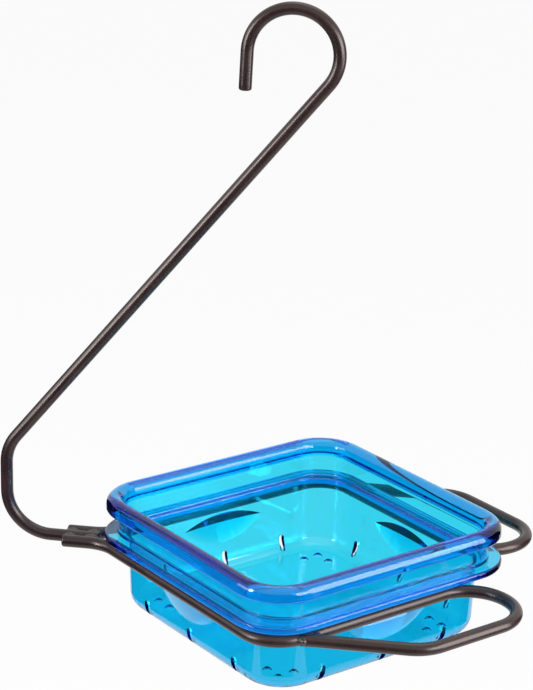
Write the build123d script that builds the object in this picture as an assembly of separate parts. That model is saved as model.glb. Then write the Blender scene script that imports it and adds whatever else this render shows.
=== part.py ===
from build123d import *
import math
import os

# Hanging bird feeder: a bent rod, two bent wires welded to its foot, and a moulded dish that drops into the
# square ring between the wires. Lengths are millimetres and angles are degrees. The origin is the saddle
# under the top of the hook, +Z is up, and the hanger's bends all lie in the XZ plane.

# Round steel rod and wire, one gauge throughout
rod_diameter = 6.0
end_round = 1.0
fit_gap = 0.1

# Hanger rod, measured on its centreline
hook_radius = 21.0
tip_length = 18.0
tip_lean = 2.0
hanger_height = 243.3
leg_height = 44.0
leg_standoff = 43.4
hanger_bend_radius = 22.0
rod_end_inset = 2.4
hook_offset = 10.0

# Ring and perch wires, measured on their centrelines
ring_clearance = 2.7
ring_corner_radius = 18.0
yoke_tail = 14.6
yoke_bend_radius = 20.0
perch_bend_radius = 20.0
perch_straight = 0.6
perch_span = 48.7
strand_inset = 3.9
strand_end_setback = 1.0

# Welds
yoke_bead_radius = 1.8
yoke_bead_lift = 1.95
yoke_bead_length = 4.8
yoke_bead_inset = 1.2
bead_end_chamfer = 0.5
perch_weld_radius = 2.5
perch_weld_height = 4.8
perch_weld_chamfer = 0.9
perch_weld_shift = 0.8

# Dish body, which hangs inside the ring
body_half = 66.0
body_corner = 22.5
body_depth = 35.0
draft = 2.0
wall = 2.3
floor_thickness = 2.4
base_round = 8.6

# Dish flange, upper wall and rim bead
flange_thickness = 3.5
flange_overhang = 0.3
flange_edge_round = 1.2
ledge_width = 2.0
ledge_round = 0.9
wall_corner = 17.7
rim_height = 22.1
bead_overhang = 6.2
bead_depth = 7.7
bead_edge_round = 1.5
bead_root_round = 2.0
step_height = 2.0
step_width = 0.9

# Dish retaining bumps, which snap past the ring wire
bump_chord = 46.6
bump_embed = 0.5
bump_ridge_drop = 3.6
bump_drop = 10.4
bump_shoulder = 5.3

# Dish drain slots and drain holes
slot_width = 3.0
slot_height = 10.5
slot_corner_gap = 7.8
slot_floor_reach = 5.0
drain_corner_inset = 19.0
drain_radial_offset = 3.2
drain_side_offset = 6.2
drain_diameter = 2.6
countersink_diameter = 4.4

# Clearances, and the overrun of every cut
seat_gap = 0.3
lift_clearance = 0.3
overrun = 1.0

# Round shapes that stand on the point they are placed at
SEATED = (Align.CENTER, Align.CENTER, Align.MIN)

# Sizes that follow from those above
rod_radius = rod_diameter / 2
ring_half = body_half + ring_clearance + rod_radius
ring_apex = math.sqrt(2) * ring_half
hook_centre_z = rod_radius - hook_radius
ring_z = hook_centre_z - hanger_height
yoke_pitch = rod_diameter + fit_gap
strand_y = ring_apex - (math.sqrt(2) - 1) * ring_corner_radius - strand_inset
strand_end_x = ring_apex - strand_y
flange_half = ring_half + rod_radius + flange_overhang
wall_half = body_half + ledge_width
flange_corner = wall_corner + flange_half - wall_half
bump_ridge = rod_diameter + seat_gap + bump_ridge_drop
slot_top = body_depth - slot_height


def round_bar(path):
    """Round bar along a path of lines and tangent arcs."""
    return sweep(Plane(origin=path @ 0, z_dir=path % 0) * Circle(rod_radius), path=path)


def dress_ends(bar):
    """Bar with the edges of its flat cut ends rounded over."""
    return fillet(bar.faces().filter_by(GeomType.PLANE).edges(), end_round)


def hanger_rod():
    """Hook, slanted arm, upright leg and level foot, bent from one rod in the XZ plane."""
    hook_centre = Vector(0, hook_centre_z)
    tip_angle = 180 - tip_lean
    tip_start = hook_centre + Vector(hook_radius, 0).rotate(Axis.Z, tip_angle)
    tip_end = tip_start + Vector(-tip_length, 0).rotate(Axis.Z, 90 - tip_lean)
    leg_x = hook_offset - ring_apex - leg_standoff
    upper_bend = Vector(leg_x, ring_z + leg_height)
    lower_bend = Vector(leg_x, ring_z)
    foot_end = Vector(hook_offset - ring_apex + rod_end_inset, ring_z)

    # The arm leaves the hook where the line from the upper bend is tangent to it
    reach = hook_centre - upper_bend
    arm_angle = math.degrees(math.atan2(reach.Y, reach.X) - math.asin(hook_radius / reach.length))
    arm_start = hook_centre + Vector(hook_radius, 0).rotate(Axis.Z, arm_angle - 90)

    tip = Line(tip_end, tip_start)
    hook = CenterArc(hook_centre, hook_radius, tip_angle, arm_angle - 90 - tip_angle)
    arm = FilletPolyline(arm_start, upper_bend, lower_bend, foot_end, radius=hanger_bend_radius)
    path = Wire([*tip.edges(), *hook.edges(), *arm.edges()])
    return dress_ends(round_bar(Plane.XZ * path))


def beside_ring(reach, along):
    """Point of the near right-hand side: its distance from the dish centre, and its place along the side."""
    return Vector(reach + along, along - reach) / math.sqrt(2)


def near_perch_wire():
    """Half of the ring and one perch loop, bent from one wire, from the yoke round to the ring again."""
    loop_reach = ring_half + 2 * perch_bend_radius + perch_straight
    yoke_end = Vector(-ring_apex - yoke_tail, -yoke_pitch)
    yoke_bend = Vector(yoke_pitch - ring_apex, -yoke_pitch)
    ring_corner = Vector(0, -ring_apex)
    turn_out = beside_ring(ring_half, perch_span)
    turn_back = beside_ring(loop_reach, perch_span)
    strand_bend = beside_ring(loop_reach, loop_reach - math.sqrt(2) * strand_y)
    bar_middle = (turn_back + strand_bend) / 2
    strand_end = Vector(strand_end_x + strand_end_setback, -strand_y)

    radii = [yoke_bend_radius, ring_corner_radius, perch_bend_radius, perch_bend_radius]
    ring_side = FilletPolyline(yoke_end, yoke_bend, ring_corner, turn_out, turn_back, bar_middle, radius=radii)
    strand = FilletPolyline(bar_middle, strand_bend, strand_end, radius=perch_bend_radius)
    ring_bar = dress_ends(round_bar(ring_side))
    return Pos(hook_offset, 0, ring_z) * (ring_bar + round_bar(strand))


def yoke_welds():
    """Two beads in each groove between the level foot of the rod and the wires beside it."""
    bars = [Circle(rod_radius), Pos(yoke_pitch, 0) * Circle(rod_radius)]
    section = Pos(yoke_pitch / 2, yoke_bead_lift) * Circle(yoke_bead_radius) - bars
    run = extrude(Plane.YZ * section, yoke_bead_length)
    crests = [end.edges().sort_by(Axis.Z)[-1] for end in run.faces().filter_by(Axis.X)]
    run = chamfer(crests, bead_end_chamfer)

    wire_x = hook_offset - ring_apex
    bend_start = wire_x + yoke_pitch - yoke_bend_radius * math.tan(math.radians(22.5))
    starts = (wire_x - yoke_tail + yoke_bead_inset, bend_start - yoke_bead_length)
    near = [Pos(x, 0, ring_z) * run for x in starts]
    return near + [mirror(weld, about=Plane.XZ) for weld in near]


def perch_end_welds(near_wire):
    """Plug of weld metal in the open and in the tight corner where each perch's end meets the ring."""
    joint_x = hook_offset + strand_end_x
    half_angle = math.radians(22.5)
    open_x = joint_x + rod_radius * math.tan(half_angle)
    tight_x = joint_x + rod_radius / math.tan(half_angle) + perch_weld_shift
    plug = Cylinder(perch_weld_radius, perch_weld_height)
    plug = chamfer(plug.edges().filter_by(GeomType.CIRCLE), perch_weld_chamfer)
    corners = [(open_x, -strand_y - rod_radius), (tight_x, -strand_y + rod_radius)]
    near = [Pos(x, y, ring_z) * plug - near_wire for x, y in corners]
    return near + [mirror(weld, about=Plane.XZ) for weld in near]


def rounded_square(half, corner):
    """Square face with round corners about the dish's axis."""
    return RectangleRounded(2 * half, 2 * half, corner)


def tapered_block(half, corner, depth, bottom_round):
    """Round-cornered block below the flange that narrows by the draft, with its bottom edge rounded."""
    block = extrude(rounded_square(half, corner), depth, dir=(0, 0, -1), taper=draft)
    return fillet(block.faces().sort_by(Axis.Z)[0].edges(), bottom_round)


def flange_plate():
    """Plate that seats on the ring wire, with rounded outer edges."""
    plate = extrude(rounded_square(flange_half, flange_corner), flange_thickness)
    levels = plate.edges().group_by(Axis.Z)
    return fillet(levels[0] + levels[-1], flange_edge_round)


def rim_section():
    """Upper wall in section: rounded into the ledge, stepped at its foot, with a solid bead round its top."""
    inner = wall_half - wall
    outer = wall_half + bead_overhang
    bead_middle = (inner + outer) / 2
    bead_level = rim_height - (outer - inner) / 2
    bead_bottom = rim_height - bead_depth
    step_top = flange_thickness + step_height
    foot = (inner - ledge_round, flange_thickness)
    slant = ledge_round * (1 - math.sqrt(0.5))
    outline = ThreePointArc(foot, (inner - slant, flange_thickness + slant), (inner, flange_thickness + ledge_round))
    outline += Line((inner, flange_thickness + ledge_round), (inner, bead_level))
    outline += ThreePointArc((inner, bead_level), (bead_middle, rim_height), (outer, bead_level))
    outline += Polyline(
        (outer, bead_level),
        (outer, bead_bottom),
        (wall_half, bead_bottom),
        (wall_half, step_top),
        (wall_half + step_width, step_top),
        (wall_half + step_width, flange_thickness),
        foot,
    )
    face = make_face(outline)
    for x, radius in ((outer, bead_edge_round), (wall_half, bead_root_round)):
        corner = face.vertices().sort_by_distance((x, bead_bottom))[0]
        face = fillet(corner, radius)
    return face


def upper_wall():
    """Upper wall and rim bead: one quarter swept round a corner, and repeated four times."""
    quarter_path = FilletPolyline((wall_half, 0), (wall_half, wall_half), (0, wall_half), radius=wall_corner)
    quarter = sweep(Plane.XZ * rim_section(), path=quarter_path)
    return Part() + [Rot(0, 0, 90 * turn) * quarter for turn in range(4)]


def retaining_bump():
    """Dome on the +X wall whose ridge snaps past the ring wire, with a shoulder that slopes back to the wall."""
    wall_face = body_half - bump_ridge * math.tan(math.radians(draft))
    swell = ring_half - rod_radius - lift_clearance - wall_face
    depth = swell + bump_embed

    # The dome meets the wall in a circle, of which the ridge spans a chord
    outline_radius = (bump_chord**2 / 4 + bump_drop**2) / (2 * bump_drop)
    centre_rise = outline_radius - bump_drop
    height = swell * outline_radius**2 / (outline_radius**2 - centre_rise**2)
    dome_radius = (outline_radius**2 + height**2) / (2 * height)
    ridge_radius = math.sqrt(dome_radius**2 - centre_rise**2)

    # Built on the wall's own plane, about the middle of the ridge, and then leant with the wall
    dome = Pos(height - dome_radius, 0, centre_rise) * Sphere(dome_radius)
    cone = Cone(ridge_radius, ridge_radius - depth, bump_shoulder * depth / swell, align=SEATED)
    shoulder = Pos(height - dome_radius, 0, 0) * cone
    room_below = Box(2 * depth, bump_chord, 2 * bump_drop, align=(Align.MIN, Align.CENTER, Align.MAX))
    room_above = Box(2 * depth, bump_chord, 2 * bump_drop, align=(Align.MIN, Align.CENTER, Align.MIN))
    bump = (Pos(-bump_embed, 0, 0) * room_below & dome) + (Pos(-bump_embed, 0, 0) * room_above & shoulder)
    return Pos(wall_face, 0, -bump_ridge) * Rot(0, draft, 0) * bump


def drain_slot(along):
    """Round-topped slot down the +X wall and round the bottom edge into the floor."""
    inner = body_half - slot_floor_reach + slot_width / 2
    outer = body_half + overrun
    height = body_depth + overrun - slot_top - slot_width / 2
    blade = Box(outer - inner, slot_width, height, align=(Align.MIN, Align.CENTER, Align.MAX))
    crown = Rot(0, 90, 0) * Cylinder(slot_width / 2, outer - inner, align=SEATED)
    nose = Cylinder(slot_width / 2, height, align=(Align.CENTER, Align.CENTER, Align.MAX))
    return Pos(inner, along, -slot_top - slot_width / 2) * (blade + crown + nose)


def drain_slots():
    """Three slots in each side."""
    pitch = body_half - body_corner - slot_corner_gap
    side = [drain_slot(step * pitch) for step in (-1, 0, 1)]
    return [Rot(0, 0, 90 * turn) * slot for turn in range(4) for slot in side]


def drain_holes():
    """Cluster of three countersunk holes in the floor at each corner."""
    corner_reach = math.sqrt(2) * body_half - (math.sqrt(2) - 1) * body_corner
    reach = corner_reach - drain_corner_inset
    inner = reach - drain_radial_offset
    places = [(inner, -drain_side_offset), (inner, drain_side_offset), (reach + drain_radial_offset, 0)]
    sink_depth = (countersink_diameter - drain_diameter) / 2
    bore = Cylinder(drain_diameter / 2, 2 * body_depth)
    sink = Pos(0, 0, sink_depth / 2) * Cone(countersink_diameter / 2, drain_diameter / 2, sink_depth)
    holes = []
    for turn in range(4):
        for radial, aside in places:
            holes.append(Rot(0, 0, 45 + 90 * turn) * Pos(radial, aside, -body_depth) * (bore + sink))
    return holes


def dish():
    """Moulded dish, built square to X and Y about its axis and then turned a corner towards the leg."""
    cavity = tapered_block(body_half - wall, body_corner - wall, body_depth - floor_thickness, base_round - wall)
    mouth = extrude(rounded_square(body_half - wall, body_corner - wall), flange_thickness + overrun)
    shell = flange_plate() + tapered_block(body_half, body_corner, body_depth, base_round) - cavity - mouth
    top_edges = shell.edges().filter_by_position(Axis.Z, flange_thickness - fit_gap, flange_thickness + fit_gap)
    shell = fillet(top_edges.filter_by(lambda edge: edge.center().length < body_half), ledge_round)
    bumps = [Rot(0, 0, 90 * turn) * retaining_bump() for turn in range(4)]
    shell = shell + bumps - drain_slots() - drain_holes() + upper_wall()
    return Pos(hook_offset, 0, ring_z + rod_radius + seat_gap) * Rot(0, 0, 45) * shell


near_wire = near_perch_wire()
far_wire = mirror(near_wire, about=Plane.XZ)
nodes = {
    "hanger_rod": hanger_rod(),
    "near_perch_wire": near_wire,
    "far_perch_wire": far_wire,
    "yoke_welds": Compound(yoke_welds()),
    "perch_end_welds": Compound(perch_end_welds(near_wire)),
    "dish": dish(),
}

os.makedirs("parts", exist_ok=True)
for name, shape in nodes.items():
    export_step(shape, f"parts/{name}.step")
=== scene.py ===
import logging
import math
from collections.abc import Iterable
from dataclasses import dataclass, field
from enum import Enum
from typing import Any, Union

import bpy
from mathutils import Matrix, Vector, noise


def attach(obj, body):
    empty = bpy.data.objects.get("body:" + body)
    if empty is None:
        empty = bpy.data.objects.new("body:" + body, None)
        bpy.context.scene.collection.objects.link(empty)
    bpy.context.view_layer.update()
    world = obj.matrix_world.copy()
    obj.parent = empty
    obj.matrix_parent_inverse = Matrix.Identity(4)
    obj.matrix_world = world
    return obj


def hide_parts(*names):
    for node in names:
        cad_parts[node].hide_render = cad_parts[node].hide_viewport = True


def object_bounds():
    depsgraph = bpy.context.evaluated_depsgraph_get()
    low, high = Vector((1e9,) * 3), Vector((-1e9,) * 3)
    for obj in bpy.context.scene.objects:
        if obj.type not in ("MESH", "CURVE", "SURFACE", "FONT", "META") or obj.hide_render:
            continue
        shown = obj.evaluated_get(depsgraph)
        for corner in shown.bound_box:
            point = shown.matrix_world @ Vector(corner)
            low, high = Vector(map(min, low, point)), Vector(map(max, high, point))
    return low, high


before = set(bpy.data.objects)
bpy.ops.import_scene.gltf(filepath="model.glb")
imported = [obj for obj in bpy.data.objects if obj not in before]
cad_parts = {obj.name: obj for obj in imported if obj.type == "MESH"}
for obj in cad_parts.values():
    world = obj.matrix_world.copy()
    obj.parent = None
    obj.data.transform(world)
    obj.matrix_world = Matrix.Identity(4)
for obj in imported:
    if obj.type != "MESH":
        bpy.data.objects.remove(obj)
cad_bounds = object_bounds()

LOG = logging.getLogger("bird_feeder")
MM = 0.001
SEEN = ("Is Camera Ray", "Is Glossy Ray", "Is Transmission Ray")
Colour = tuple[float, float, float]


class Body(Enum):
    """Rigid bodies of the feeder that pieces ride on."""

    FRAME = "frame"
    DISH = "dish"


class Slot(Enum):
    """Material slots of the record."""

    COAT = "bronze_coat"
    WELD = "weld_coat"
    PLASTIC = "blue_plastic"


class Side(Enum):
    """Side of the feeder's mirror plane, as the sign that turns the near side into it."""

    NEAR = 1
    FAR = -1


class Socket:
    """Output socket of a shader node, on which Python's operators add Math nodes."""

    def __init__(self, graph: "Graph", output: bpy.types.NodeSocket) -> None:
        """Wrap one output.

        Args:
            graph: The graph that the output's node is in.
            output: The output socket.
        """
        self.graph = graph
        self.output = output

    def _maths(self, operation: str, first: "Value", second: "Value") -> "Socket":
        """Add one Math node on two values."""
        return self.graph.node("ShaderNodeMath", {"operation": operation}, {0: first, 1: second})

    def __add__(self, other: "Value") -> "Socket":
        """Sum of this value and another."""
        return self._maths("ADD", self, other)

    def __mul__(self, other: "Value") -> "Socket":
        """Product of this value and another."""
        return self._maths("MULTIPLY", self, other)

    def __radd__(self, other: float) -> "Socket":
        """Sum of a number and this value."""
        return self._maths("ADD", other, self)

    def __rmul__(self, other: float) -> "Socket":
        """Product of a number and this value."""
        return self._maths("MULTIPLY", other, self)

    def larger(self, other: "Value") -> "Socket":
        """Larger of this value and another."""
        return self._maths("MAXIMUM", self, other)


Value = Union[Socket, float, Colour]


class Graph:
    """Shader node tree of a material or a world, emptied and ready for nodes."""

    def __init__(self, owner: Union[bpy.types.Material, bpy.types.World]) -> None:
        """Take over the owner's node tree.

        Args:
            owner: Material or world whose nodes are replaced.
        """
        owner.use_nodes = True
        self.tree = owner.node_tree
        self.tree.nodes.clear()
        kind = "World" if isinstance(owner, bpy.types.World) else "Material"
        self.end = self.tree.nodes.new(f"ShaderNodeOutput{kind}")

    def node(self, kind: str, settings: dict[str, Any], inputs: dict[Any, Value], output: Any = 0) -> Socket:
        """Add a node and return one of its outputs.

        Args:
            kind: Blender's name of the node type.
            settings: Properties of the node; "stops" gives a ramp's places and grey levels.
            inputs: Value or link of each input, by name or number.
            output: Name or number of the output to return.

        Returns:
            The chosen output.
        """
        node = self.tree.nodes.new(kind)
        for name, value in settings.items():
            if name == "stops":
                self._set_stops(node.color_ramp, value)
            else:
                setattr(node, name, value)
        for name, value in inputs.items():
            if isinstance(value, Socket):
                self.tree.links.new(value.output, node.inputs[name])
            elif isinstance(value, tuple) and node.inputs[name].type == "RGBA":
                node.inputs[name].default_value = (*value, 1.0)
            else:
                node.inputs[name].default_value = value
        return Socket(self, node.outputs[output])

    @staticmethod
    def _set_stops(ramp: bpy.types.ColorRamp, stops: tuple[tuple[float, float], ...]) -> None:
        """Set a ramp's stops to grey levels at given places."""
        while len(ramp.elements) < len(stops):
            ramp.elements.new(1.0)
        for element, (place, level) in zip(ramp.elements, stops):
            element.position = place
            element.color = (level, level, level, 1.0)

    def show(self, shader: Socket, where: str = "Surface") -> None:
        """Link a shader to the surface or the volume of the tree's output."""
        self.tree.links.new(shader.output, self.end.inputs[where])

    def place(self) -> Socket:
        """Position on the object in metres, which moves with its body."""
        return self.node("ShaderNodeTexCoord", {}, {}, "Object")

    def noise(self, size: float, detail: float = 2.0, roughness: float = 0.5) -> Socket:
        """Cloudy noise between 0 and 1.

        Args:
            size: Width of its largest blots in metres.
            detail: Octaves of finer blots.
            roughness: Strength of each finer octave.

        Returns:
            The noise value.
        """
        inputs = {"Vector": self.place(), "Scale": 1.0 / size, "Detail": detail, "Roughness": roughness}
        return self.node("ShaderNodeTexNoise", {}, inputs, "Fac")

    def ramp(self, value: Socket, *stops: tuple[float, float]) -> Socket:
        """Grey level read off a ramp.

        Args:
            value: Place on the ramp.
            stops: Pairs of a place and its level.

        Returns:
            The level.
        """
        return self.node("ShaderNodeValToRGB", {"stops": stops}, {"Fac": value}, "Color")

    def mix(self, factor: Value, first: Value, second: Value) -> Socket:
        """Blend of two colours.

        Args:
            factor: 0 for the first colour and 1 for the second.
            first: First colour.
            second: Second colour.

        Returns:
            The blended colour.
        """
        return self.node("ShaderNodeMix", {"data_type": "RGBA"}, {0: factor, 6: first, 7: second}, 2)

    def bump(self, height: Socket, strength: float, depth: float) -> Socket:
        """Normal bent by a height.

        Args:
            height: Height between 0 and 1.
            strength: Share of the effect.
            depth: Real height in metres that 1 stands for.

        Returns:
            The bent normal.
        """
        inputs = {"Strength": strength, "Distance": depth, "Height": height}
        return self.node("ShaderNodeBump", {}, inputs, "Normal")

    def light_path(self, *kinds: str) -> Socket:
        """1 for the given kinds of ray and 0 for the others."""
        total = self.node("ShaderNodeLightPath", {}, {}, kinds[0])
        for kind in kinds[1:]:
            total = total.larger(self.node("ShaderNodeLightPath", {}, {}, kind))
        return total


@dataclass(frozen=True)
class PowderCoat:
    """Satin powder coat on steel: a fine pebbled skin over a slightly cloudy and speckled brown."""

    name: str
    dark: Colour
    light: Colour
    gloss_roughness: float = 0.25
    dull_roughness: float = 0.35
    shine: float = 0.5
    shine_tint: Colour = (1.0, 0.9, 0.86)
    cloud_size: float = 0.014
    speck_size: float = 0.0011
    pebble_size: float = 0.0007
    pebble_depth: float = 0.000014
    pebble_strength: float = 0.6
    cloud_share: float = 0.6
    dulling_share: float = 0.7

    def material(self) -> bpy.types.Material:
        """Build the finish."""
        material = bpy.data.materials.new(self.name)
        graph = Graph(material)
        cloud = graph.ramp(graph.noise(self.cloud_size, 3.0), (0.35, 0.0), (0.65, 1.0))
        speck = graph.ramp(graph.noise(self.speck_size, 2.0, 0.7), (0.4, 0.0), (0.7, 1.0))
        pebble = graph.noise(self.pebble_size, 1.0)
        spread = self.dull_roughness - self.gloss_roughness
        inputs = {
            "Base Color": graph.mix(self._blend(cloud, speck, self.cloud_share), self.dark, self.light),
            "Roughness": self.gloss_roughness + spread * self._blend(cloud, speck, self.dulling_share),
            "Specular IOR Level": self.shine,
            "Specular Tint": self.shine_tint,
            "Normal": graph.bump(pebble, self.pebble_strength, self.pebble_depth),
        }
        graph.show(graph.node("ShaderNodeBsdfPrincipled", {}, inputs))
        return material

    @staticmethod
    def _blend(cloud: Socket, speck: Socket, share: float) -> Socket:
        """Blend of the clouds and the specks, by the clouds' share."""
        return share * cloud + (1.0 - share) * speck


@dataclass(frozen=True)
class TintedPlastic:
    """Clear moulded plastic that deepens with thickness, with faint flow waves and fine rub marks."""

    name: str
    # Colour of each wall crossing: the plastic's own tint, dimmed further as painted shade that stands in for a
    # shaded surface seen through the walls.
    tint_and_painted_shade: Colour = (0.95, 0.88, 0.93)
    depth_tint: Colour = (0.42, 0.951, 0.990)
    depth_density: float = 2000.0
    shadow_tint: Colour = (0.6, 0.88, 0.96)
    shine_tint: Colour = (0.85, 0.88, 1.0)
    refraction: float = 1.5
    polish: float = 0.02
    rubbed: float = 0.07
    wave_size: float = 0.02
    wave_depth: float = 0.00005
    wave_strength: float = 0.4
    rub_size: float = 0.004

    def material(self) -> bpy.types.Material:
        """Build the finish."""
        material = bpy.data.materials.new(self.name)
        graph = Graph(material)
        rub = graph.ramp(graph.noise(self.rub_size, 4.0, 0.6), (0.5, 0.0), (0.75, 1.0))
        wave = graph.noise(self.wave_size, 1.0)
        inputs = {
            # The base colour tints the light through every wall and also darkens it as painted shade.
            "Base Color": self.tint_and_painted_shade,
            "Roughness": self.polish + (self.rubbed - self.polish) * rub,
            "IOR": self.refraction,
            "Transmission Weight": 1.0,
            "Specular Tint": self.shine_tint,
            "Normal": graph.bump(wave, self.wave_strength, self.wave_depth),
        }
        body = graph.node("ShaderNodeBsdfPrincipled", {}, inputs)
        shade = graph.node("ShaderNodeBsdfTransparent", {}, {"Color": self.shadow_tint})
        shadow = graph.light_path("Is Shadow Ray")
        graph.show(graph.node("ShaderNodeMixShader", {}, {0: shadow, 1: body, 2: shade}))
        absorb = {"Color": self.depth_tint, "Density": self.depth_density}
        graph.show(graph.node("ShaderNodeVolumeAbsorption", {}, absorb), "Volume")
        return material


@dataclass(frozen=True)
class StudioPaper:
    """Pale paper that reads white in the picture and still holds a soft shadow."""

    name: str
    colour: Colour = (0.86, 0.86, 0.86)
    grain: Colour = (0.88, 0.88, 0.88)
    glow_share: float = 0.95
    grain_size: float = 0.002

    def material(self) -> bpy.types.Material:
        """Build the finish."""
        material = bpy.data.materials.new(self.name)
        graph = Graph(material)
        colour = graph.mix(graph.noise(self.grain_size), self.colour, self.grain)
        paper = graph.node("ShaderNodeBsdfDiffuse", {}, {"Color": colour})
        white = graph.node("ShaderNodeEmission", {}, {"Color": (1.0, 1.0, 1.0), "Strength": 1.0})
        seen = graph.light_path(*SEEN)
        graph.show(graph.node("ShaderNodeMixShader", {}, {0: self.glow_share * seen, 1: paper, 2: white}))
        return material


@dataclass
class BentPath:
    """Centreline of a bent bar: straight runs joined by tangent arcs."""

    points: list[Vector] = field(default_factory=list)
    arc_step: float = math.radians(4.0)
    run_step: float = 4.0 * MM
    shortest_run: float = 0.0001 * MM

    def add(self, point: Vector) -> None:
        """Go on to a point in a straight run, which is divided into short steps."""
        if self.points:
            start = self.points[-1]
            run = point - start
            if run.length < self.shortest_run:
                return
            steps = max(1, math.ceil(run.length / self.run_step))
            self.points += [start + run * (step / steps) for step in range(1, steps)]
        self.points.append(point)

    def add_corner(self, corner: Vector, onward: Vector, radius: float) -> None:
        """Go round a corner on a tangent arc.

        Args:
            corner: The sharp corner of the straight runs.
            onward: A point that the next run heads for.
            radius: Bend radius of the centreline.
        """
        before = (corner - self.points[-1]).normalized()
        after = (onward - corner).normalized()
        turn = before.angle(after)
        start = corner - before * (radius * math.tan(turn / 2))
        inward = (after - before * before.dot(after)).normalized()
        self.add(start)
        steps = max(2, math.ceil(turn / self.arc_step))
        for step in range(1, steps + 1):
            angle = turn * step / steps
            along = before * (radius * math.sin(angle))
            self.points.append(start + along + inward * (radius * (1 - math.cos(angle))))


@dataclass(frozen=True)
class Bar:
    """Round bar skinned along a centreline, with its cut ends rounded over."""

    radius: float = 3.0 * MM
    end_round: float = 1.0 * MM
    sides: int = 40
    end_steps: int = 5

    def mesh(self, name: str, path: list[Vector], round_last: bool = True) -> bpy.types.Mesh:
        """Skin the bar.

        Args:
            name: Name of the mesh.
            path: Points of the centreline.
            round_last: Whether the last end is rounded over too.

        Returns:
            The closed mesh.
        """
        rings = self._end_rings(path[0], (path[1] - path[0]).normalized())
        rings += [(point, self.radius) for point in path[1:-1]]
        if round_last:
            rings += reversed(self._end_rings(path[-1], (path[-2] - path[-1]).normalized()))
        else:
            rings.append((path[-1], self.radius))
        frames = self._frames([centre for centre, _ in rings])
        vertices = []
        for (centre, reach), (across, upward) in zip(rings, frames):
            for side in range(self.sides):
                angle = 2 * math.pi * side / self.sides
                vertices.append(centre + reach * (math.cos(angle) * across + math.sin(angle) * upward))
        faces = []
        for ring in range(len(rings) - 1):
            for side in range(self.sides):
                here = ring * self.sides + side
                beside = ring * self.sides + (side + 1) % self.sides
                faces.append((here, beside, beside + self.sides, here + self.sides))
        last = (len(rings) - 1) * self.sides
        faces.append(tuple(reversed(range(self.sides))))
        faces.append(tuple(range(last, last + self.sides)))
        return smooth_mesh(name, vertices, faces)

    def _end_rings(self, tip: Vector, inward: Vector) -> list[tuple[Vector, float]]:
        """Rings of the rounded edge of a cut end, from the tip inward."""
        rings = []
        for step in range(self.end_steps + 1):
            angle = math.pi / 2 * step / self.end_steps
            depth = self.end_round * (1 - math.cos(angle))
            reach = self.radius - self.end_round * (1 - math.sin(angle))
            rings.append((tip + inward * depth, reach))
        return rings

    @staticmethod
    def _frames(centres: list[Vector]) -> list[tuple[Vector, Vector]]:
        """Crosswise axes at each centre, carried along without twist."""
        frames = []
        across = None
        for index, centre in enumerate(centres):
            before = centres[max(index - 1, 0)]
            after = centres[min(index + 1, len(centres) - 1)]
            along = (after - before).normalized()
            if across is None:
                helper = Vector((0.0, 0.0, 1.0)) if abs(along.z) < 0.9 else Vector((0.0, 1.0, 0.0))
                across = helper.cross(along).normalized()
            across = (across - along * across.dot(along)).normalized()
            frames.append((across, along.cross(across)))
        return frames


def smooth_mesh(name: str, vertices: Iterable[Vector], faces: Iterable[tuple[int, ...]]) -> bpy.types.Mesh:
    """Mesh with smooth shading.

    Args:
        name: Name of the mesh.
        vertices: Corners in metres.
        faces: Corner numbers of each face.

    Returns:
        The mesh.
    """
    mesh = bpy.data.meshes.new(name)
    mesh.from_pydata([tuple(vertex) for vertex in vertices], [], list(faces))
    mesh.shade_smooth()
    return mesh


def stand_in(mesh: bpy.types.Mesh, coat: bpy.types.Material, node: str) -> None:
    """Show a mesh in place of a steel CAD node.

    Args:
        mesh: The piece's mesh.
        coat: Its finish.
        node: CAD node that it replaces.
    """
    mesh.materials.append(coat)
    piece = bpy.data.objects.new(mesh.name, mesh)
    bpy.context.scene.collection.objects.link(piece)
    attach(piece, Body.FRAME.value)
    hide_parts(node)
    LOG.info("built %s for %s", piece.name, node)


@dataclass(frozen=True)
class HangerRod:
    """Hook, slanted arm, upright leg and level foot, bent from one rod in the XZ plane."""

    hook_radius: float = 21.0 * MM
    tip_length: float = 18.0 * MM
    tip_lean: float = 2.0
    hook_level: float = -18.0 * MM
    ring_level: float = -261.3 * MM
    leg_height: float = 44.0 * MM
    leg_x: float = -134.8 * MM
    foot_end_x: float = -89.0 * MM
    bend_radius: float = 22.0 * MM
    bar: Bar = Bar()

    def build(self, coat: bpy.types.Material) -> None:
        """Skin the rod and dress it."""
        path = BentPath()
        centre = Vector((0.0, 0.0, self.hook_level))
        lean = math.radians(self.tip_lean)
        start_angle = math.pi - lean
        tip_start = centre + self._spoke(start_angle)
        path.add(tip_start - Vector((math.sin(lean), 0.0, math.cos(lean))) * self.tip_length)
        path.add(tip_start)

        # The arm is the tangent from the upper bend to the hook
        upper = Vector((self.leg_x, 0.0, self.ring_level + self.leg_height))
        lower = Vector((self.leg_x, 0.0, self.ring_level))
        reach = centre - upper
        arm_angle = math.atan2(reach.z, reach.x) - math.asin(self.hook_radius / reach.length)
        end_angle = arm_angle - math.pi / 2
        steps = math.ceil((start_angle - end_angle) / path.arc_step)
        for step in range(1, steps + 1):
            path.points.append(centre + self._spoke(start_angle + (end_angle - start_angle) * step / steps))
        path.add_corner(upper, lower, self.bend_radius)
        foot_end = Vector((self.foot_end_x, 0.0, self.ring_level))
        path.add_corner(lower, foot_end, self.bend_radius)
        path.add(foot_end)
        stand_in(self.bar.mesh("bent_hanger_rod", path.points), coat, "hanger_rod")

    def _spoke(self, angle: float) -> Vector:
        """Way from the hook's centre to a point of its centreline."""
        return Vector((math.cos(angle), 0.0, math.sin(angle))) * self.hook_radius


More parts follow.
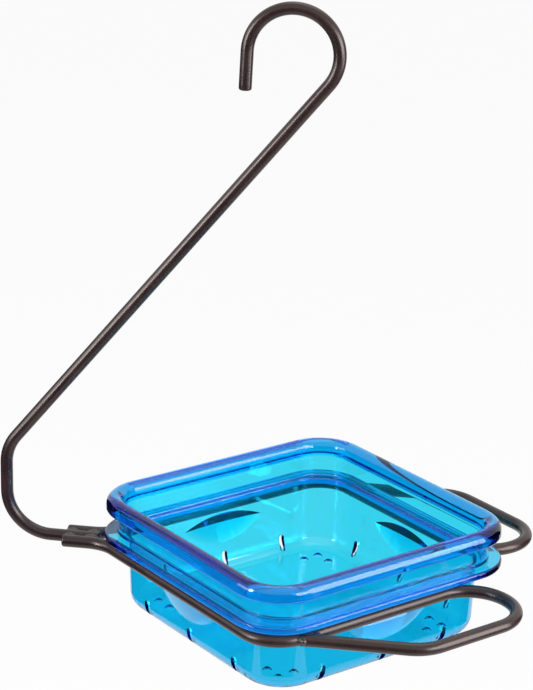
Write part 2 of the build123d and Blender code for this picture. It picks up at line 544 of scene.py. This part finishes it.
@dataclass(frozen=True)
class PerchWire:
    """Half of the dish ring and one perch loop, bent from one wire whose end is welded to the ring."""

    side: Side
    centre_x: float = 10.0 * MM
    level: float = -261.3 * MM
    ring_half: float = 71.7 * MM
    corner_radius: float = 18.0 * MM
    yoke_pitch: float = 6.1 * MM
    yoke_tail: float = 14.6 * MM
    bend_radius: float = 20.0 * MM
    perch_straight: float = 0.6 * MM
    perch_span: float = 48.7 * MM
    strand_inset: float = 3.9 * MM
    strand_setback: float = 1.0 * MM
    bar: Bar = Bar()

    def build(self, coat: bpy.types.Material) -> None:
        """Skin the wire and dress it."""
        apex = math.sqrt(2) * self.ring_half
        strand_y = apex - (math.sqrt(2) - 1) * self.corner_radius - self.strand_inset
        loop_reach = self.ring_half + 2 * self.bend_radius + self.perch_straight
        corners = [
            self._at(self.yoke_pitch - apex, -self.yoke_pitch),
            self._at(0.0, -apex),
            self._beside_ring(self.ring_half, self.perch_span),
            self._beside_ring(loop_reach, self.perch_span),
            self._beside_ring(loop_reach, loop_reach - math.sqrt(2) * strand_y),
        ]
        end = self._at(apex - strand_y + self.strand_setback, -strand_y)
        radii = [self.bend_radius, self.corner_radius, self.bend_radius, self.bend_radius, self.bend_radius]
        path = BentPath()
        path.add(self._at(-apex - self.yoke_tail, -self.yoke_pitch))
        for corner, onward, radius in zip(corners, [*corners[1:], end], radii):
            path.add_corner(corner, onward, radius)
        path.add(end)
        name = self.side.name.lower()
        mesh = self.bar.mesh(f"bent_{name}_wire", path.points, round_last=False)
        stand_in(mesh, coat, f"{name}_perch_wire")

    def _at(self, x: float, y: float) -> Vector:
        """Point in the ring's plane, from the dish's axis, for the near side's y."""
        return Vector((self.centre_x + x, self.side.value * y, self.level))

    def _beside_ring(self, reach: float, along: float) -> Vector:
        """Point by the right-hand side of the ring, by its distance from the axis and its place along."""
        return self._at((reach + along) / math.sqrt(2), (along - reach) / math.sqrt(2))


@dataclass(frozen=True)
class Weld:
    """Smooth bead of weld metal, uneven as if laid by hand; its axes are half its length, width and height."""

    centre: Vector
    axes: Vector
    seed: float
    ripples: float = 3.0
    ripple_depth: float = 0.015
    lumpiness: float = 0.05
    lump_rate: float = 1.4
    rings: int = 28
    sides: int = 28

    def corners(self) -> list[Vector]:
        """Corners of the bead: one pole, the rings between, and the other pole."""
        corners = [self._corner(0.0, 0.0)]
        for ring in range(1, self.rings):
            for side in range(self.sides):
                corners.append(self._corner(math.pi * ring / self.rings, 2 * math.pi * side / self.sides))
        corners.append(self._corner(math.pi, 0.0))
        return corners

    def _corner(self, polar: float, angle: float) -> Vector:
        """Corner at an angle from the pole and an angle round the bead's length."""
        spoke = math.sin(polar)
        ball = Vector((-math.cos(polar), spoke * math.cos(angle), spoke * math.sin(angle)))
        lump = noise.noise(ball * self.lump_rate + Vector((self.seed, 2 * self.seed, 0.0)))
        ripple = math.cos(math.pi * self.ripples * ball.x) * spoke
        swell = 1.0 + self.lumpiness * lump + self.ripple_depth * ripple
        return self.centre + swell * ball * self.axes

    def faces(self, first: int) -> list[tuple[int, ...]]:
        """Faces of the bead, whose first corner has the given number."""
        faces: list[tuple[int, ...]] = []
        last = first + 1 + (self.rings - 1) * self.sides
        for side in range(self.sides):
            beside = (side + 1) % self.sides
            faces.append((first, first + 1 + side, first + 1 + beside))
            for ring in range(self.rings - 2):
                row = first + 1 + ring * self.sides
                faces.append((row + side, row + self.sides + side, row + self.sides + beside, row + beside))
            faces.append((last, last - self.sides + beside, last - self.sides + side))
        return faces


@dataclass(frozen=True)
class Welds:
    """Beads in the yoke's grooves and in the corners where the perch ends meet the ring; lengths in mm."""

    level: float = -261.3
    groove_y: float = 3.05
    yoke_beads: tuple[tuple[float, float], ...] = ((-103.0, 3.7), (-92.3, 3.9))
    yoke_rise: float = 0.95
    yoke_width: float = 2.9
    yoke_height: float = 1.9
    yoke_seed_step: float = 1.7
    perch_beads: tuple[tuple[float, float, float], ...] = ((22.0, -92.0, 1.9), (24.2, -92.6, 1.5), (29.4, -86.9, 2.4))
    perch_rise: float = 0.3
    perch_ripples: float = 2.0
    perch_seed: float = 5.3
    perch_seed_step: float = 2.1

    def build(self, coat: bpy.types.Material) -> None:
        """Lay the beads and dress them."""
        yoke = []
        perch = []
        for side in Side:
            for index, (x, half) in enumerate(self.yoke_beads):
                centre = Vector((x, -side.value * self.groove_y, self.level + self.yoke_rise)) * MM
                axes = Vector((half, self.yoke_width, self.yoke_height)) * MM
                yoke.append(Weld(centre, axes, self.yoke_seed_step * index + side.value))
            for index, (x, y, radius) in enumerate(self.perch_beads):
                centre = Vector((x, side.value * y, self.level + self.perch_rise)) * MM
                axes = Vector((radius, radius, radius)) * MM
                seed = self.perch_seed + self.perch_seed_step * index + side.value
                perch.append(Weld(centre, axes, seed, ripples=self.perch_ripples))
        stand_in(self._mesh("yoke_weld_beads", yoke), coat, "yoke_welds")
        stand_in(self._mesh("perch_weld_beads", perch), coat, "perch_end_welds")

    @staticmethod
    def _mesh(name: str, welds: list[Weld]) -> bpy.types.Mesh:
        """One mesh of several beads."""
        corners: list[Vector] = []
        faces: list[tuple[int, ...]] = []
        for weld in welds:
            faces += weld.faces(len(corners))
            corners += weld.corners()
        return smooth_mesh(name, corners, faces)


@dataclass(frozen=True)
class WireFrame:
    """Everything of steel: the rod, the two wires and their welds."""

    coat: PowderCoat = PowderCoat("dark_bronze_powder_coat", (0.016, 0.008, 0.008), (0.026, 0.014, 0.012))
    weld_coat: PowderCoat = PowderCoat(
        "coat_over_weld", (0.02, 0.012, 0.01), (0.034, 0.023, 0.02), gloss_roughness=0.24, dull_roughness=0.34
    )

    def build(self) -> None:
        """Build and dress the steel pieces."""
        coat = self.coat.material()
        HangerRod().build(coat)
        for side in Side:
            PerchWire(side).build(coat)
        Welds().build(self.weld_coat.material())


@dataclass(frozen=True)
class FeedingDish:
    """Clear blue moulded dish, which keeps its CAD shape."""

    node: str = "dish"
    plastic: TintedPlastic = TintedPlastic("clear_blue_plastic")

    def build(self) -> None:
        """Dress the dish."""
        material = self.plastic.material()
        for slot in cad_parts[self.node].material_slots:
            slot.material = material
        LOG.info("dressed %s", self.node)


@dataclass(frozen=True)
class PhotoCamera:
    """Camera at the photograph's viewing angle; lengths in metres, angles in degrees."""

    target: tuple[float, float, float] = (-0.00911, 0.0, -0.1559)
    azimuth: float = 8.37
    elevation: float = 19.05
    roll: float = 1.35
    distance: float = 1.0829
    focal_pixels: float = 2319.9
    picture_width: float = 533.0
    sensor_width: float = 36.0
    near_clip: float = 0.01
    far_clip: float = 50.0

    def build(self) -> None:
        """Make the camera and choose it for the scene."""
        data = bpy.data.cameras.new("photo_camera")
        data.sensor_fit = "HORIZONTAL"
        data.sensor_width = self.sensor_width
        data.lens = self.focal_pixels / self.picture_width * self.sensor_width
        data.clip_start = self.near_clip
        data.clip_end = self.far_clip
        turn = math.radians(self.azimuth)
        tilt = math.radians(self.elevation)
        roll = math.radians(self.roll)
        back = Vector((math.sin(turn) * math.cos(tilt), -math.cos(turn) * math.cos(tilt), math.sin(tilt)))
        right = Vector((math.cos(turn), math.sin(turn), 0.0))
        up = back.cross(right)
        rolled_right = math.cos(roll) * right + math.sin(roll) * up
        rolled_up = -math.sin(roll) * right + math.cos(roll) * up
        facing = Matrix((rolled_right, rolled_up, back)).transposed().to_4x4()
        camera = bpy.data.objects.new("photo_camera", data)
        camera.matrix_world = Matrix.Translation(Vector(self.target) + self.distance * back) @ facing
        bpy.context.scene.collection.objects.link(camera)
        bpy.context.scene.camera = camera


@dataclass(frozen=True)
class Softbox:
    """Rectangular lamp, placed by its bearing from the feeder and aimed at it."""

    name: str
    bearing: tuple[float, float, float]
    distance: float
    width: float
    height: float
    radiance: float
    aim: tuple[float, float, float] = (0.0, 0.0, -0.22)

    def build(self) -> None:
        """Make the lamp."""
        data = bpy.data.lights.new(self.name, "AREA")
        data.shape = "RECTANGLE"
        data.size = self.width
        data.size_y = self.height
        data.energy = self.radiance * math.pi * self.width * self.height
        lamp = bpy.data.objects.new(self.name, data)
        away = Vector(self.bearing).normalized()
        lamp.location = Vector(self.aim) + away * self.distance
        lamp.rotation_euler = (-away).to_track_quat("-Z", "Y").to_euler()
        bpy.context.scene.collection.objects.link(lamp)


@dataclass(frozen=True)
class DarkSurround:
    """Dark cards round the front and sides that only reflections see, which keep the reflected room deep.

    They rise like a tray's rim from the edge of the white floor, and stay open at the back and above.
    """

    name: str = "dark_surround"
    colour: Colour = (0.03, 0.03, 0.085)
    floor_left: float = -0.4
    floor_right: float = 0.44
    floor_front: float = -0.4
    floor_back: float = 0.7
    rim_half: float = 2.2
    rim_front: float = -1.9
    rim_back: float = 1.6
    rim_height: float = 0.45
    lift: float = 0.01

    def build(self, floor_level: float) -> None:
        """Make the cards.

        Args:
            floor_level: Height of the studio floor.
        """
        level = floor_level + self.lift
        corners = []
        rings = (
            (self.floor_left, self.floor_right, self.floor_front, self.floor_back, level),
            (-self.rim_half, self.rim_half, self.rim_front, self.rim_back, self.rim_height),
        )
        for left, right, front, back, height in rings:
            corners += [(left, back, height), (left, front, height), (right, front, height), (right, back, height)]
        mesh = bpy.data.meshes.new(self.name)
        mesh.from_pydata(corners, [], [(side, side + 1, side + 5, side + 4) for side in range(3)])
        material = bpy.data.materials.new(self.name)
        graph = Graph(material)
        graph.show(graph.node("ShaderNodeBsdfDiffuse", {}, {"Color": self.colour}))
        mesh.materials.append(material)
        card = bpy.data.objects.new(self.name, mesh)
        card.visible_camera = False
        card.visible_diffuse = False
        card.visible_transmission = False
        card.visible_shadow = False
        bpy.context.scene.collection.objects.link(card)


@dataclass(frozen=True)
class Studio:
    """Floor, world light and lamps."""

    floor_half: float = 8.0
    floor_drop: float = 0.25
    fill_level: float = 0.2
    bounces: int = 24
    lamps: tuple[Softbox, ...] = (
        Softbox("left_lamp", (-0.80, -0.63, 0.26), 1.1, 0.22, 0.5, 21.0),
        Softbox("left_softbox", (-0.96, -0.28, 0.17), 1.2, 0.6, 0.7, 4.0),
        Softbox("right_softbox", (0.84, -0.55, 0.17), 1.2, 0.64, 0.8, 9.0),
        Softbox("right_strip", (0.98, -0.17, 0.105), 0.75, 0.24, 0.8, 8.0),
        Softbox("top_softbox", (0.1, 0.3, 1.0), 1.1, 0.8, 0.8, 1.2),
    )

    def build(self) -> None:
        """Make the floor, the world and the lamps, and let light bounce on inside the thick plastic."""
        self._floor()
        self._world()
        DarkSurround().build(cad_bounds[0].z - self.floor_drop)
        for lamp in self.lamps:
            lamp.build()
        cycles = bpy.context.scene.cycles
        cycles.max_bounces = self.bounces
        cycles.transmission_bounces = self.bounces
        cycles.glossy_bounces = self.bounces

    def _floor(self) -> None:
        """Lay the paper floor well below the hanging feeder."""
        level = cad_bounds[0].z - self.floor_drop
        half = self.floor_half
        corners = [(-half, -half, level), (half, -half, level), (half, half, level), (-half, half, level)]
        mesh = bpy.data.meshes.new("studio_floor")
        mesh.from_pydata(corners, [], [(0, 1, 2, 3)])
        mesh.materials.append(StudioPaper("studio_paper").material())
        floor = bpy.data.objects.new("studio_floor", mesh)
        bpy.context.scene.collection.objects.link(floor)

    def _world(self) -> None:
        """White where it is seen, straight or through the plastic, and a softer white where it lights."""
        world = bpy.data.worlds.new("studio_world")
        bpy.context.scene.world = world
        graph = Graph(world)
        seen = graph.light_path(*SEEN)
        strength = self.fill_level + (1.0 - self.fill_level) * seen
        graph.show(graph.node("ShaderNodeBackground", {}, {"Color": (1.0, 1.0, 1.0), "Strength": strength}))


def main() -> None:
    """Build the feeder's looks, the studio and the camera."""
    logging.basicConfig(level=logging.INFO, format="%(name)s: %(message)s")
    bpy.context.scene.view_settings.view_transform = "Standard"
    PhotoCamera().build()
    Studio().build()
    WireFrame().build()
    FeedingDish().build()


if __name__ == "__main__":
    main()
